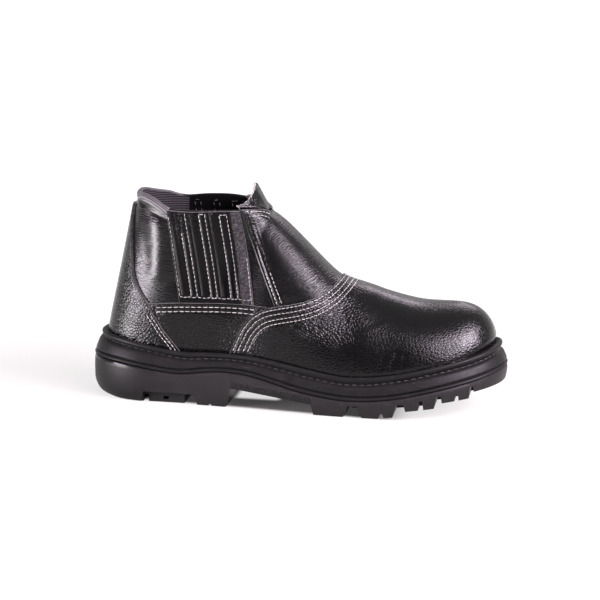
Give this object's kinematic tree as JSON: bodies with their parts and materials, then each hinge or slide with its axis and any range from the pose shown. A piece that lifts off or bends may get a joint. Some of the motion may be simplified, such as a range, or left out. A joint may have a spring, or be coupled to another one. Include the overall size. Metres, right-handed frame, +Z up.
{
  "type": "ankle boot",
  "caption": "Slip-on ankle safety boot for the right foot: hollow leather upper, open collar, gathered side gores, raised front tab, moulded lugged sole with heel.",
  "frame": {"origin": "centre of the boot's box, on the ground plane under the lugs", "axes": "+X towards the toe, +Z up, -Y the lateral (outer) side of the right foot"},
  "size_m": [0.3009, 0.111, 0.1546],
  "materials": {
    "outsole": "matte moulded black polyurethane",
    "midsole": "matte moulded dark polyurethane",
    "insole": "dark grey textile footbed",
    "upper": "smooth black leather, lined",
    "grain_overlay": "glossy black pebble-grain leather",
    "gore_cover": "thin gathered black leather over elastic"
  },
  "bodies": {
    "root": {"outsole": "outsole", "midsole": "midsole", "insole": "insole", "upper": "upper", "front_tab": "upper", "vamp": "grain_overlay", "heel_counter": "grain_overlay", "gore_cover_lateral": "gore_cover", "gore_cover_medial": "gore_cover"}
  },
  "joints": []
}
